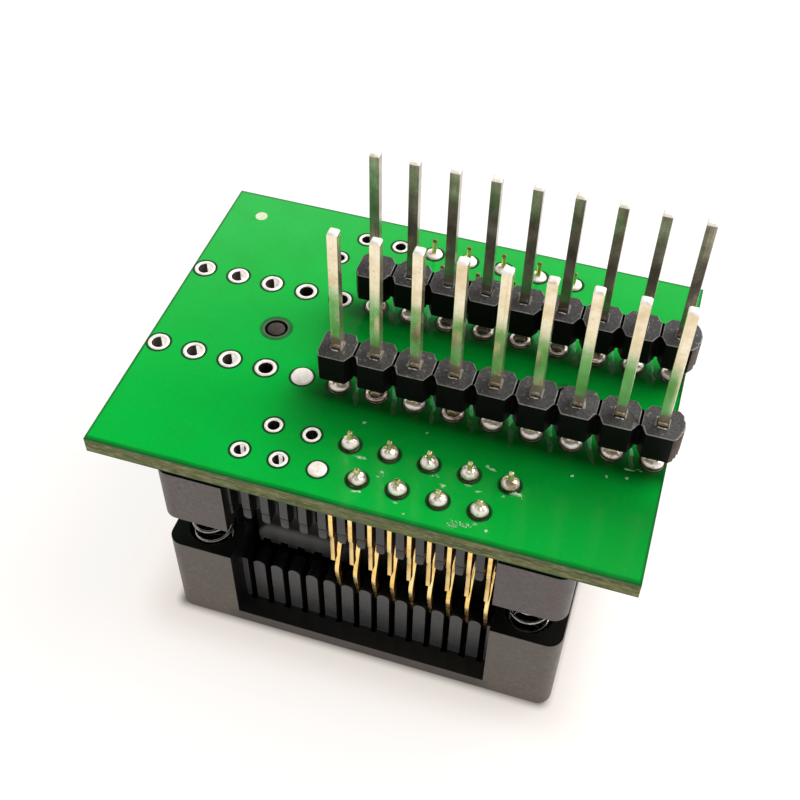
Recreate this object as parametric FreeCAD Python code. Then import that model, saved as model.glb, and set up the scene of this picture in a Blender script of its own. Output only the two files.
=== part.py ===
import FreeCAD, Part
import math
import os

V = FreeCAD.Vector
os.makedirs("parts", exist_ok=True)

# ---------------------------------------------------------------------------
# Adapter board with an open-top small-outline chip socket on one face and two
# rows of square pins on the other.  It stands pins up, on the pressed cover of
# the socket.  +Z runs along the pins, X along the long edge of the board and
# Y from the front edge to the rear edge.  The origin is the middle of the
# bounding box, at the face it stands on.  All lengths are in millimetres.
# ---------------------------------------------------------------------------

# heights
Z_COVER_TOP = 7.90          # upper face of the cover's corner blocks
Z_LEDGE = 1.35              # thickness of the cover's plate
Z_RIB_TOP = 5.90            # crown of the cover's comb ribs
Z_BASE_LOW = 10.80          # underside of the base's corner blocks
Z_COMB_LOW = 11.70          # underside of the base's comb
Z_BASE_TOP = 15.40          # upper face of the base
Z_BOARD_LOW = 15.70         # lower face of the board
BOARD_T = 1.20
Z_BOARD = Z_BOARD_LOW + BOARD_T      # 16.90, the face that carries the pins
Z_HDR_LOW = 18.60           # header strips sit proud of the board
Z_HDR_TOP = 20.74
Z_PIN_LOW = 15.55
Z_PIN_TOP = 29.95
Z_SEAT = 4.40               # chip seat on the base's pedestal
TRAVEL = 2.50               # stroke of the cover

# board
BOARD_L, BOARD_W = 34.80, 25.50
BOARD_CX, BOARD_CY = -0.215, 0.045

# pin grid of the two rows
PITCH = 2.54
ROW_HALF = 3.81
DIP_X0, DIP_CY = -16.735, 0.145
DIP_COLS = 14
PIN_COLS = list(range(5, 14))
PIN_SQ = 0.64
DIP_R, DIP_WALL, DIP_PAD_R = 0.48, 0.04, 0.74

# chip socket
SX, SY = 0.158, -0.045      # socket centre
SP = 1.27                   # contact pitch
NPOS = 14                   # positions a side
LOADED = list(range(5, 14))
SOC_R, SOC_WALL, SOC_PAD_R = 0.375, 0.04, 0.60
U_INNER, U_OUTER = 8.015, 10.48     # rows of solder tails, from the centre
PAD_T = 0.05

BASE_HX, BASE_HY = 13.40, 12.65
COVER_HX, COVER_HY = 13.45, 12.75
CORNER_R = 1.00
WIN_BASE, WIN_COVER = 8.78, 8.83    # half widths of the front and rear windows
U_BASE_RIB = 11.85          # front face of the base's comb
U_RIB_OUT, U_RIB_IN = 11.20, 9.90   # cover's comb ribs
PED_HX, PED_HY = 8.80, 8.35         # pedestal
NEST_HX, NEST_HY = 9.10, 5.60       # chip opening in the cover
CAVITY_HY = 9.90
COVER_SLOT = 0.40
CONTACT_T = 0.28
SPR_X, SPR_U, SPR_POCKET = 10.95, 10.60, 1.60
SPR_MEAN_R, SPR_WIRE_R = 1.27, 0.11
PEG_DX, PEG_R, PEG_HOLE_R = 9.942, 0.60, 0.79

BIG = 40.0


def box(x0, x1, y0, y1, z0, z1):
    return Part.makeBox(x1 - x0, y1 - y0, z1 - z0, V(x0, y0, z0))


def prism(points, direction):
    """Closed polygon of 3-D points, extruded."""
    wire = Part.makePolygon([V(*p) for p in points] + [V(*points[0])])
    return Part.Face(wire).extrude(V(*direction))


def cyl(r, x, y, z0, z1):
    return Part.makeCylinder(r, z1 - z0, V(x, y, z0), V(0, 0, 1))


def revolve(profile, x, y):
    """Profile of (radius, z) pairs turned about a vertical line."""
    wire = Part.makePolygon([V(r, 0, z) for r, z in profile] + [V(profile[0][0], 0, profile[0][1])])
    solid = Part.Face(wire).revolve(V(0, 0, 0), V(0, 0, 1), 360)
    solid.translate(V(x, y, 0))
    return solid


def rounded_block(hx, hy, z0, z1, r):
    b = box(SX - hx, SX + hx, SY - hy, SY + hy, z0, z1)
    upright = [e for e in b.Edges if abs(e.Vertexes[0].Z - e.Vertexes[1].Z) > 1e-6]
    return b.makeFillet(r, upright)


def ubox(side, x0, x1, u0, u1, z0, z1):
    """Box given by its distance u from the socket's centre plane; side -1 is the front."""
    ya, yb = SY + side * u0, SY + side * u1
    return box(x0, x1, min(ya, yb), max(ya, yb), z0, z1)


def pos_x(k):
    """X of socket position k; halves lie between positions."""
    return SX + (k - (NPOS - 1) / 2.0) * SP


def dip_xy(col, row):
    """row -1 is the front row."""
    return DIP_X0 + PITCH * col, DIP_CY + row * ROW_HALF


def tail_u(k, side):
    """Solder tails are staggered: front even positions are outer, rear even positions are inner."""
    even = k % 2 == 0
    return U_OUTER if even == (side < 0) else U_INNER


def one(shape, what):
    s = shape.removeSplitter()
    if len(s.Solids) != 1 or not s.isValid():
        print("CHECK", what, "solids", len(s.Solids), "valid", s.isValid())
    return s.Solids[0] if len(s.Solids) == 1 else s


def save(shape, name):
    shape.exportStep("parts/%s.step" % name)


# ---------------------------------------------------------------------------
# circuit board: a laminate drilled for the pins, the socket and its pegs
# ---------------------------------------------------------------------------
bx0, bx1 = BOARD_CX - BOARD_L / 2, BOARD_CX + BOARD_L / 2
by0, by1 = BOARD_CY - BOARD_W / 2, BOARD_CY + BOARD_W / 2
drills = []
for col in range(DIP_COLS):
    for row in (-1, 1):
        x, y = dip_xy(col, row)
        drills.append(cyl(DIP_R + DIP_WALL, x, y, Z_BOARD_LOW - 1, Z_BOARD + 1))
for k in range(NPOS):
    for side in (-1, 1):
        drills.append(cyl(SOC_R + SOC_WALL, pos_x(k), SY + side * tail_u(k, side), Z_BOARD_LOW - 1, Z_BOARD + 1))
for s in (-1, 1):
    drills.append(cyl(PEG_HOLE_R, SX + s * PEG_DX, SY, Z_BOARD_LOW - 1, Z_BOARD + 1))
board = box(bx0, bx1, by0, by1, Z_BOARD_LOW, Z_BOARD).cut(drills)
save(one(board, "circuit_board"), "circuit_board")


# plated barrels, each one ring, tube and ring
def barrel(r, wall, pad_r, x, y):
    top, low = Z_BOARD, Z_BOARD_LOW
    prof = [(r, low - PAD_T), (pad_r, low - PAD_T), (pad_r, low), (r + wall, low), (r + wall, top),
            (pad_r, top), (pad_r, top + PAD_T), (r, top + PAD_T)]
    return revolve(prof, x, y)


pads = []
for col in range(DIP_COLS):
    for row in (-1, 1):
        x, y = dip_xy(col, row)
        pads.append(barrel(DIP_R, DIP_WALL, DIP_PAD_R, x, y))
save(Part.makeCompound(pads), "plated_holes_pin_rows")
pads = []
for k in range(NPOS):
    for side in (-1, 1):
        pads.append(barrel(SOC_R, SOC_WALL, SOC_PAD_R, pos_x(k), SY + side * tail_u(k, side)))
save(Part.makeCompound(pads), "plated_holes_socket")


# ---------------------------------------------------------------------------
# header strips: nine eight-sided cells in a row, joined by narrow necks that
# stop short of the lower face; snapped from a longer strip at both ends
# ---------------------------------------------------------------------------
CELL_D, CELL_R = 1.25, 1.15 # depth of a cell in front of its pin and behind it
CELL_FLAT = 0.83            # half width of its front flat
CELL_W = 1.17               # half width of a cell
NECK = 0.62                 # half depth of a neck
NECK_LIFT = 0.21            # a neck stops this far above the lower face


def header(row, left_cut, right_end):
    first = dip_xy(PIN_COLS[0], row)
    cells = []
    for i, col in enumerate(PIN_COLS):
        x, y = dip_xy(col, row)
        left = -CELL_W
        pts = [(x - CELL_FLAT, y - CELL_D), (x + CELL_FLAT, y - CELL_D), (x + CELL_W, y - NECK), (x + CELL_W, y + NECK),
               (x + CELL_FLAT, y + CELL_R), (x - CELL_FLAT, y + CELL_R), (x + left, y + NECK), (x + left, y - NECK)]
        if i == len(PIN_COLS) - 1:
            # torn end: the last neck's stub follows a ragged line
            pts = [(x - CELL_FLAT, y - CELL_D), (x + 0.80, y - CELL_D)] + [(px, y + py) for px, py in right_end] + [
                (x + CELL_FLAT, y + CELL_R), (x - CELL_FLAT, y + CELL_R), (x - CELL_W, y + NECK), (x - CELL_W, y - NECK)]
        cells.append(prism([(a, b, Z_HDR_LOW) for a, b in pts], (0, 0, Z_HDR_TOP - Z_HDR_LOW)))
    body = cells[0]
    necks = []
    for i in range(len(PIN_COLS) - 1):
        x, y = dip_xy(PIN_COLS[i], row)
        xm = x + PITCH / 2
        necks.append(box(xm - 0.20, xm + 0.20, y - NECK, y + NECK, Z_HDR_LOW + NECK_LIFT, Z_HDR_TOP))
    body = body.fuse(cells[1:] + necks)
    cuts = []
    for i in range(len(PIN_COLS) - 1):
        x, y = dip_xy(PIN_COLS[i], row)
        xm = x + PITCH / 2
        cuts.append(box(xm - 0.075, xm + 0.075, y - 3, y + 3, Z_HDR_TOP - 0.42, Z_HDR_TOP + 1))
    for col in PIN_COLS:
        x, y = dip_xy(col, row)
        h = PIN_SQ / 2
        cuts.append(box(x - h, x + h, y - h, y + h, Z_HDR_LOW - 1, Z_HDR_TOP + 1))
        cuts.append(box(x - 0.37, x + 0.37, y - 0.46, y + 0.37, Z_HDR_TOP - 0.08, Z_HDR_TOP + 1))
    # the first cell is trimmed where it was snapped off
    x, y = first
    cuts.append(prism([(left_cut[0], y - 2, Z_HDR_LOW - 1), (left_cut[1], y + 2, Z_HDR_LOW - 1),
                       (x - 3, y + 2, Z_HDR_LOW - 1), (x - 3, y - 2, Z_HDR_LOW - 1)], (0, 0, 5)))
    return one(body.cut(cuts), "header")


x_last = DIP_X0 + PITCH * PIN_COLS[-1]
x_first = DIP_X0 + PITCH * PIN_COLS[0]
front_end = [(x_last + 1.06, -1.02), (x_last + 1.04, -0.86), (x_last + 1.20, -0.70), (x_last + 1.16, -0.52), (x_last + 1.30, -0.36),
             (x_last + 1.26, -0.18), (x_last + 1.33, 0.02), (x_last + 1.27, 0.20), (x_last + 1.31, 0.34), (x_last + 1.18, 0.52), (x_last + 1.12, 0.86)]
rear_end = [(x_last + 1.00, -0.98), (x_last + 1.14, -0.74), (x_last + 1.12, -0.50), (x_last + 1.25, -0.30), (x_last + 1.21, -0.08),
            (x_last + 1.27, 0.16), (x_last + 1.20, 0.40), (x_last + 1.16, 0.60), (x_last + 1.00, 0.92)]
save(header(-1, (x_first - 0.98, x_first - 1.10), front_end), "header_strip_front")
save(header(1, (x_first - 1.14, x_first - 1.12), rear_end), "header_strip_rear")


# ---------------------------------------------------------------------------
# square pins with chamfered ends
# ---------------------------------------------------------------------------
def pin(x, y):
    h, c, t = PIN_SQ / 2, 0.10, 0.16
    lower = prism([(x - h + c, y - h + c, Z_PIN_LOW), (x + h - c, y - h + c, Z_PIN_LOW), (x + h - c, y + h - c, Z_PIN_LOW), (x - h + c, y + h - c, Z_PIN_LOW)], (0, 0, 0.01))

    def wire(half, z):
        return Part.makePolygon([V(x - half, y - half, z), V(x + half, y - half, z), V(x + half, y + half, z), V(x - half, y + half, z), V(x - half, y - half, z)])
    lofted = Part.makeLoft([wire(h - c, Z_PIN_LOW), wire(h, Z_PIN_LOW + t), wire(h, Z_PIN_TOP - t), wire(h - c, Z_PIN_TOP)], True, True)
    return lofted


n = 0
for row in (-1, 1):
    for col in PIN_COLS:
        n += 1
        x, y = dip_xy(col, row)
        save(one(pin(x, y), "pin"), "header_pin_%02d" % n)


# ---------------------------------------------------------------------------
# solder: a fillet round each pin and each contact tail, and plugged pads
# ---------------------------------------------------------------------------
def arc_profile(r0, z0, r1, z1, sag, steps=6):
    """Points from (r0, z0) to (r1, z1) along a line that sags towards the axis."""
    pts = []
    for i in range(steps + 1):
        t = i / steps
        r = r0 + (r1 - r0) * t
        z = z0 + (z1 - z0) * t
        b = sag * math.sin(math.pi * t)
        pts.append((r - b, z - b * 0.6))
    return pts


for row, name in ((-1, "front"), (1, "rear")):
    joints = []
    for i, col in enumerate(PIN_COLS):
        x, y = dip_xy(col, row)
        low = Z_BOARD_LOW + 0.05
        shoulder = Z_BOARD + PAD_T
        if i % 2 == 0:
            side = arc_profile(0.71, shoulder, 0.50, shoulder + 0.62, -0.06)
            prof = [(0.02, low), (DIP_R - 0.005, low), (DIP_R - 0.005, shoulder)] + side + [(0.40, shoulder + 0.74), (0.02, shoulder + 0.78)]
        else:
            side = arc_profile(0.68, shoulder, 0.40, shoulder + 0.34, 0.05)
            prof = [(0.02, low), (DIP_R - 0.005, low), (DIP_R - 0.005, shoulder)] + side + [(0.02, shoulder + 0.36)]
        h = PIN_SQ / 2
        joints.append(revolve(prof, x, y).cut(box(x - h, x + h, y - h, y + h, low - 1, shoulder + 3)))
    save(Part.makeCompound([s for j in joints for s in j.Solids]), "header_solder_%s" % name)

TAIL_W = 0.30


def tail_top(k, side):
    """The tails end at slightly different heights over the board."""
    if side < 0:
        return Z_BOARD + (1.25 if k % 2 else 1.05)
    return Z_BOARD + {LOADED[-1]: 1.15, LOADED[-2]: 1.30}.get(k, 1.40)


for side, name in ((-1, "front"), (1, "rear")):
    joints = []
    for k in LOADED:
        x, y = pos_x(k), SY + side * tail_u(k, side)
        low = Z_BOARD_LOW + 0.05
        shoulder = Z_BOARD + PAD_T
        hgt = 0.40 + 0.06 * (k % 3)
        prof = [(0.02, low), (SOC_R - 0.005, low), (SOC_R - 0.005, shoulder)] + arc_profile(0.57, shoulder, 0.24, shoulder + hgt, 0.035 if k % 4 else -0.02) + [(0.02, shoulder + hgt + 0.02)]
        joints.append(revolve(prof, x, y).cut(box(x - CONTACT_T / 2, x + CONTACT_T / 2, y - TAIL_W / 2, y + TAIL_W / 2, low - 1, shoulder + 3)))
    save(Part.makeCompound([s for j in joints for s in j.Solids]), "socket_solder_%s" % name)

plugs = []
x, y = dip_xy(4, -1)
top = Z_BOARD + PAD_T
plugs.append(revolve([(0, Z_BOARD_LOW + 0.1), (DIP_R - 0.005, Z_BOARD_LOW + 0.1), (DIP_R - 0.005, top), (0.70, top), (0.62, top + 0.09), (0.36, top + 0.17), (0, top + 0.20)], x, y))
x, y = pos_x(4), SY - tail_u(4, -1)
plugs.append(revolve([(0, Z_BOARD_LOW + 0.1), (SOC_R - 0.005, Z_BOARD_LOW + 0.1), (SOC_R - 0.005, top), (0.57, top), (0.50, top + 0.09), (0.28, top + 0.17), (0, top + 0.19)], x, y))
save(Part.makeCompound(plugs), "solder_plugs")


# ---------------------------------------------------------------------------
# socket base: slotted plate with corner blocks, a pedestal that carries the
# chip, feet against the board and two locating pegs through it
# ---------------------------------------------------------------------------
base = rounded_block(BASE_HX, BASE_HY, Z_BASE_LOW, Z_BASE_TOP, CORNER_R)
cuts = []
for side in (-1, 1):
    cuts.append(ubox(side, SX - WIN_BASE, SX + WIN_BASE, U_BASE_RIB, BIG, Z_BASE_LOW - 1, Z_BASE_TOP + 1))
    cuts.append(ubox(side, SX - WIN_BASE, SX + WIN_BASE, PED_HY, BIG, Z_BASE_LOW - 1, Z_COMB_LOW))
base = base.cut(cuts)
cuts = []
for side in (-1, 1):
    for k in range(NPOS):
        x = pos_x(k)
        # wide mouth, then the slot that grips the contact
        cuts.append(ubox(side, x - 0.365, x + 0.365, 10.90, BIG, Z_COMB_LOW - 0.5, Z_BASE_TOP + 1))
        cuts.append(ubox(side, x - 0.17, x + 0.17, 7.50, 11.0, 11.95, Z_BASE_TOP + 1))
        cuts.append(ubox(side, x - 0.17, x + 0.17, PED_HY, 11.0, Z_COMB_LOW - 0.5, Z_BASE_TOP + 1))
    for k in range(-1, NPOS):
        # the ribs' lower third is set back a little, and their lower corners are rounded
        x = pos_x(k + 0.5)
        cuts.append(ubox(side, max(x - 0.31, SX - WIN_BASE), min(x + 0.31, SX + WIN_BASE), U_BASE_RIB - 0.05, BIG, Z_COMB_LOW - 0.5, 12.72))
        cuts.append(ubox(side, max(x - 0.31, SX - WIN_BASE), min(x + 0.31, SX + WIN_BASE), U_BASE_RIB - 0.15, BIG, 12.62, 12.75))
        r = 0.20
        for s in (-1, 1):
            if (k == -1 and s < 0) or (k == NPOS - 1 and s > 0):
                continue
            cx, cz = x + s * (0.27 - r), Z_COMB_LOW + r
            pts = [(x + s * 0.28, Z_COMB_LOW - 0.01), (x + s * 0.28, cz)]
            for i in range(0, 5):
                a = math.radians(90.0 * i / 4)
                pts.append((cx + s * r * math.cos(a), cz - r * math.sin(a)))
            pts.append((cx, Z_COMB_LOW - 0.01))
            ya = SY + side * 10.95
            cuts.append(prism([(px, ya, pz) for px, pz in pts], (0, side * 2.0, 0)))
for sx in (-1, 1):
    for side in (-1, 1):
        cuts.append(cyl(SPR_POCKET, SX + sx * SPR_X, SY + side * SPR_U, Z_BASE_LOW - 1, Z_BASE_LOW + 0.60))
    # channels for the cover's hooks, open outwards
    xa, xb = SX + sx * 12.00, SX + sx * BIG
    cuts.append(box(min(xa, xb), max(xa, xb), SY - 2.15, SY + 2.15, Z_BASE_LOW - 1, Z_BASE_TOP + 1))
    xa = SX + sx * 11.25
    cuts.append(box(min(xa, xb), max(xa, xb), SY - 2.15, SY + 2.15, 11.95, Z_BASE_TOP + 1))
base = base.cut(cuts)
adds = [box(SX - PED_HX, SX + PED_HX, SY - PED_HY, SY + PED_HY, Z_SEAT, Z_BASE_LOW + 0.5)]
for side in (-1, 1):
    for k in range(-1, NPOS):
        x = pos_x(k + 0.5)
        adds.append(ubox(side, max(x - 0.36, SX - PED_HX), min(x + 0.36, SX + PED_HX), 5.35, 8.30, Z_SEAT - 0.42, Z_SEAT + 0.2))
for sx in (-1, 1):
    x = SX + sx * PEG_DX
    prof = [(0, Z_BASE_TOP - 0.5), (PEG_R, Z_BASE_TOP - 0.5), (PEG_R, Z_BOARD - 0.06), (0.52, Z_BOARD + 0.02), (0.38, Z_BOARD + 0.07), (0, Z_BOARD + 0.09)]
    adds.append(revolve(prof, x, SY))
    for side in (-1, 1):
        adds.append(cyl(0.70, SX + sx * 12.2, SY + side * 11.4, Z_BASE_TOP - 0.2, Z_BOARD_LOW))
base = base.fuse(adds)
cuts = [box(SX - 8.0, SX + 8.0, SY - 3.9, SY + 3.9, Z_SEAT - 1, Z_SEAT + 0.35)]
for sx in (-1, 1):
    cuts.append(cyl(0.9, SX + sx * 4.2, SY, Z_SEAT - 1, Z_SEAT + 1.4))
base = base.cut(cuts)
save(one(base, "socket_base"), "socket_base")


# ---------------------------------------------------------------------------
# socket cover: pressed towards the board to open the contacts; an opening for
# the chip, a slot for each contact, combs, spring pockets and two hooks
# ---------------------------------------------------------------------------
cover = rounded_block(COVER_HX, COVER_HY, 0.0, Z_COVER_TOP, CORNER_R)
lower = [e for e in cover.Edges if all(abs(v.Z) < 1e-6 for v in e.Vertexes)]
cover = cover.makeChamfer(0.32, lower)
cuts = [box(SX - NEST_HX, SX + NEST_HX, SY - CAVITY_HY, SY + CAVITY_HY, Z_LEDGE, Z_COVER_TOP + 1),
        box(SX - NEST_HX, SX + NEST_HX, SY - NEST_HY, SY + NEST_HY, -1, Z_LEDGE + 0.1)]
for side in (-1, 1):
    cuts.append(ubox(side, SX - WIN_COVER, SX + WIN_COVER, CAVITY_HY - 0.1, BIG, Z_LEDGE, Z_COVER_TOP + 1))


# the opening flares towards the chip side
FLARE, FLARE_H = 0.62, 0.60
ax = prism([(SX - NEST_HX - FLARE, SY - BIG, 0.0), (SX + NEST_HX + FLARE, SY - BIG, 0.0), (SX + NEST_HX, SY - BIG, FLARE_H), (SX - NEST_HX, SY - BIG, FLARE_H)], (0, 2 * BIG, 0))
ay = prism([(SX - BIG, SY - NEST_HY - FLARE, 0.0), (SX - BIG, SY + NEST_HY + FLARE, 0.0), (SX - BIG, SY + NEST_HY, FLARE_H), (SX - BIG, SY - NEST_HY, FLARE_H)], (2 * BIG, 0, 0))
cuts.append(ax.common(ay))
for sx in (-1, 1):
    for side in (-1, 1):
        cuts.append(cyl(SPR_POCKET, SX + sx * SPR_X, SY + side * SPR_U, 1.70, Z_COVER_TOP + 1))
cover = cover.cut(cuts)
ribs = []
rib_half = (SP - COVER_SLOT) / 2
for side in (-1, 1):
    for k in range(-1, NPOS):
        x = pos_x(k + 0.5)
        ya = SY + side * U_RIB_OUT
        if k == -1 or k == NPOS - 1:
            # half a rib against the block
            inner = x + rib_half if k == -1 else x - rib_half
            wall = SX - WIN_COVER - 0.2 if k == -1 else SX + WIN_COVER + 0.2
            ribs.append(ubox(side, min(inner, wall), max(inner, wall), U_RIB_IN, U_RIB_OUT, Z_LEDGE - 0.1, Z_RIB_TOP - 0.10))
            continue
        cz = Z_RIB_TOP - rib_half
        pts = [(x - rib_half, Z_LEDGE - 0.1), (x + rib_half, Z_LEDGE - 0.1), (x + rib_half, cz)]
        for i in range(1, 12):
            a = math.pi * i / 12
            pts.append((x + rib_half * math.cos(a), cz + rib_half * math.sin(a)))
        pts.append((x - rib_half, cz))
        ribs.append(prism([(px, ya, pz) for px, pz in pts], (0, -side * (U_RIB_OUT - U_RIB_IN), 0)))
for sx in (-1, 1):
    # hook: stem beside the base, lip behind its ledge
    x0, x1, x2 = SX + sx * 12.10, SX + sx * 13.30, SX + sx * 11.35
    pts = [(x0, 6.0), (x1, 6.0), (x1, 12.90), (SX + sx * 11.75, 12.90), (x2, 12.45), (x2, 12.00), (x0, 12.00)]
    ribs.append(prism([(px, SY - 2.0, pz) for px, pz in pts], (0, 4.0, 0)))
cover = cover.fuse(ribs)
slots = []
for side in (-1, 1):
    for k in range(NPOS):
        x = pos_x(k)
        slots.append(ubox(side, x - COVER_SLOT / 2, x + COVER_SLOT / 2, NEST_HY - 0.5, U_RIB_OUT + 0.25, -1, Z_LEDGE + 0.001))
cover = cover.cut(slots)
save(one(cover, "socket_cover"), "socket_cover")


# ---------------------------------------------------------------------------
# contacts: each blanked from one strip, lying across the board.  A body in
# the base, a tail through the board, a stop leg in front, and a spring arm
# that bends out to an elbow, runs down a slot of the cover and reaches in
# over the chip seat
# ---------------------------------------------------------------------------
def ribbon(line, widths):
    """Outline of a strip of varying width along a line of points."""
    left, right = [], []
    for i, (u, z) in enumerate(line):
        a = line[max(i - 1, 0)]
        b = line[min(i + 1, len(line) - 1)]
        du, dz = b[0] - a[0], b[1] - a[1]
        n_ = math.hypot(du, dz)
        nu, nz = -dz / n_, du / n_
        w = widths[i] / 2
        left.append((u + nu * w, z + nz * w))
        right.append((u - nu * w, z - nz * w))
    return left + right[::-1]


def smooth(points, steps=5):
    """Catmull-Rom points through a line."""
    p = [points[0]] + list(points) + [points[-1]]
    out = []
    for i in range(1, len(p) - 2):
        for j in range(steps):
            t = j / steps
            a, b, c, d = p[i - 1], p[i], p[i + 1], p[i + 2]
            out.append(tuple(0.5 * ((2 * b[m]) + (-a[m] + c[m]) * t + (2 * a[m] - 5 * b[m] + 4 * c[m] - d[m]) * t * t
                                    + (-a[m] + 3 * b[m] - 3 * c[m] + d[m]) * t ** 3) for m in range(2)))
    out.append(points[-1])
    return out


ARM = [(9.40, 12.30), (9.62, 11.40), (10.30, 9.75), (10.88, 8.30), (11.05, 7.62), (10.98, 6.90), (10.72, 5.70),
       (10.42, 4.60), (9.95, 3.60), (9.20, 3.00), (8.20, 2.80), (7.00, 2.80), (5.95, 2.95), (5.32, 3.42), (5.12, 4.22)]
ARM_W = [0.62, 0.56, 0.48, 0.46, 0.50, 0.46, 0.44, 0.42, 0.40, 0.38, 0.36, 0.34, 0.32, 0.30, 0.22]


def contact(k, side):
    x0 = pos_x(k) - CONTACT_T / 2

    def plate(pts):
        return prism([(x0, SY + side * u, z) for u, z in pts], (CONTACT_T, 0, 0))
    tu = tail_u(k, side)
    line = smooth(ARM)
    # widths follow the control points
    widths = []
    for i in range(len(line)):
        t = i / 5.0
        j = min(int(t), len(ARM_W) - 2)
        f = t - j
        widths.append(ARM_W[j] * (1 - f) + ARM_W[j + 1] * f)
    arm = plate(ribbon(line, widths))
    body = plate([(7.65, 12.25), (7.65, 15.10), (12.00, 15.10), (12.00, 12.45), (11.86, 12.15), (11.86, 9.62), (11.78, 9.58),
                  (11.44, 9.58), (11.40, 9.64), (11.40, 11.95), (11.20, 12.15), (8.0, 12.15)])
    top = tail_top(k, side)
    tail = plate([(tu - TAIL_W / 2, 15.0), (tu - TAIL_W / 2, top - 0.15), (tu - 0.07, top), (tu + 0.07, top),
                  (tu + TAIL_W / 2, top - 0.15), (tu + TAIL_W / 2, 15.0)])
    return one(body.fuse([arm, tail]), "contact")


n = 0
for side in (-1, 1):
    for k in LOADED:
        n += 1
        save(contact(k, side), "contact_%02d" % n)


# ---------------------------------------------------------------------------
# return springs: round wire, one closed turn at each end
# ---------------------------------------------------------------------------
def spring(x, y, phase):
    z0, z1 = 1.70 + SPR_WIRE_R + 0.01, Z_BASE_LOW + 0.60 - SPR_WIRE_R - 0.01
    free_turns, end_turns = 8.0, 1.0
    end_rise = 2.3 * SPR_WIRE_R
    mid = (z1 - z0) - 2 * end_rise
    total = free_turns + 2 * end_turns
    pts = []
    m = int(total * 14)
    for i in range(m + 1):
        t = total * i / m
        if t < end_turns:
            z = z0 + end_rise * t / end_turns
        elif t > end_turns + free_turns:
            z = z1 - end_rise * (total - t) / end_turns
        else:
            z = z0 + end_rise + mid * (t - end_turns) / free_turns
        a = 2 * math.pi * t + phase
        pts.append(V(x + SPR_MEAN_R * math.cos(a), y + SPR_MEAN_R * math.sin(a), z))
    curve = Part.BSplineCurve()
    curve.interpolate(pts)
    path = Part.Wire([curve.toShape()])
    tangent = curve.tangent(curve.FirstParameter)[0]
    section = Part.Wire([Part.makeCircle(SPR_WIRE_R, pts[0], tangent)])
    pipe = path.makePipeShell([section], True, True)
    return pipe


names = {(-1, -1): "spring_front_left", (1, -1): "spring_front_right", (-1, 1): "spring_rear_left", (1, 1): "spring_rear_right"}
for (sx, side), name in names.items():
    s = spring(SX + sx * SPR_X, SY + side * SPR_U, 4.52 if sx < 0 else 6.25)
    expected = math.pi * SPR_WIRE_R ** 2 * math.hypot(2 * math.pi * SPR_MEAN_R * 10.0, 9.5)
    print(name, "volume", round(s.Volume, 4), "expected", round(expected, 4), "valid", s.isValid())
    save(s.Solids[0], name)
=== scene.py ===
import math
import random

import bmesh
import bpy
from mathutils import Matrix, Vector, noise


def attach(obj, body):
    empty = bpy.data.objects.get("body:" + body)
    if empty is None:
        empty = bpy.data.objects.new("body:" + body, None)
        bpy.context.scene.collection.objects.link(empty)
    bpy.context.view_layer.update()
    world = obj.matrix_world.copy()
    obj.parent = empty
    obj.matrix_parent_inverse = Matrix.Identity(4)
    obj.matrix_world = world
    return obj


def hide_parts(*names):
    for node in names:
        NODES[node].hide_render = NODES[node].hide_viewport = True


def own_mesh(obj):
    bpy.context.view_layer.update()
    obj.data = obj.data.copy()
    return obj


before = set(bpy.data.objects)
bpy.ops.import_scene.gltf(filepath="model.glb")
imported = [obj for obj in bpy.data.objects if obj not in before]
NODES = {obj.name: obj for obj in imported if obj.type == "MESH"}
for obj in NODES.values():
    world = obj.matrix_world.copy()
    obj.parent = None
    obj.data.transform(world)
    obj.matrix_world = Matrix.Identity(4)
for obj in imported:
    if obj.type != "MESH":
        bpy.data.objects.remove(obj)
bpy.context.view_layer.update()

MM = 0.001
ROOT, COVER = "adapter", "cover"

# ---------------------------------------------------------------- dimensions
Z_BOARD, Z_BOARD_LOW = 16.90, 15.70
PITCH, DIP_X0, DIP_CY, ROW_HALF = 2.54, -16.735, 0.145, 3.81
PIN_COLS = list(range(5, 14))
SX, SY, SP, NPOS = 0.158, -0.045, 1.27, 14
LOADED = list(range(5, 14))
U_INNER, U_OUTER = 8.015, 10.48
DIP_R, SOC_R = 0.48, 0.375
Z_HDR_TOP = 20.74
PEG_DX = 9.942


def dip_xy(col, row):
    return DIP_X0 + PITCH * col, DIP_CY + row * ROW_HALF


def soc_xy(k, side):
    even = k % 2 == 0
    u = U_OUTER if even == (side < 0) else U_INNER
    return SX + (k - (NPOS - 1) / 2.0) * SP, SY + side * u


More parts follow.
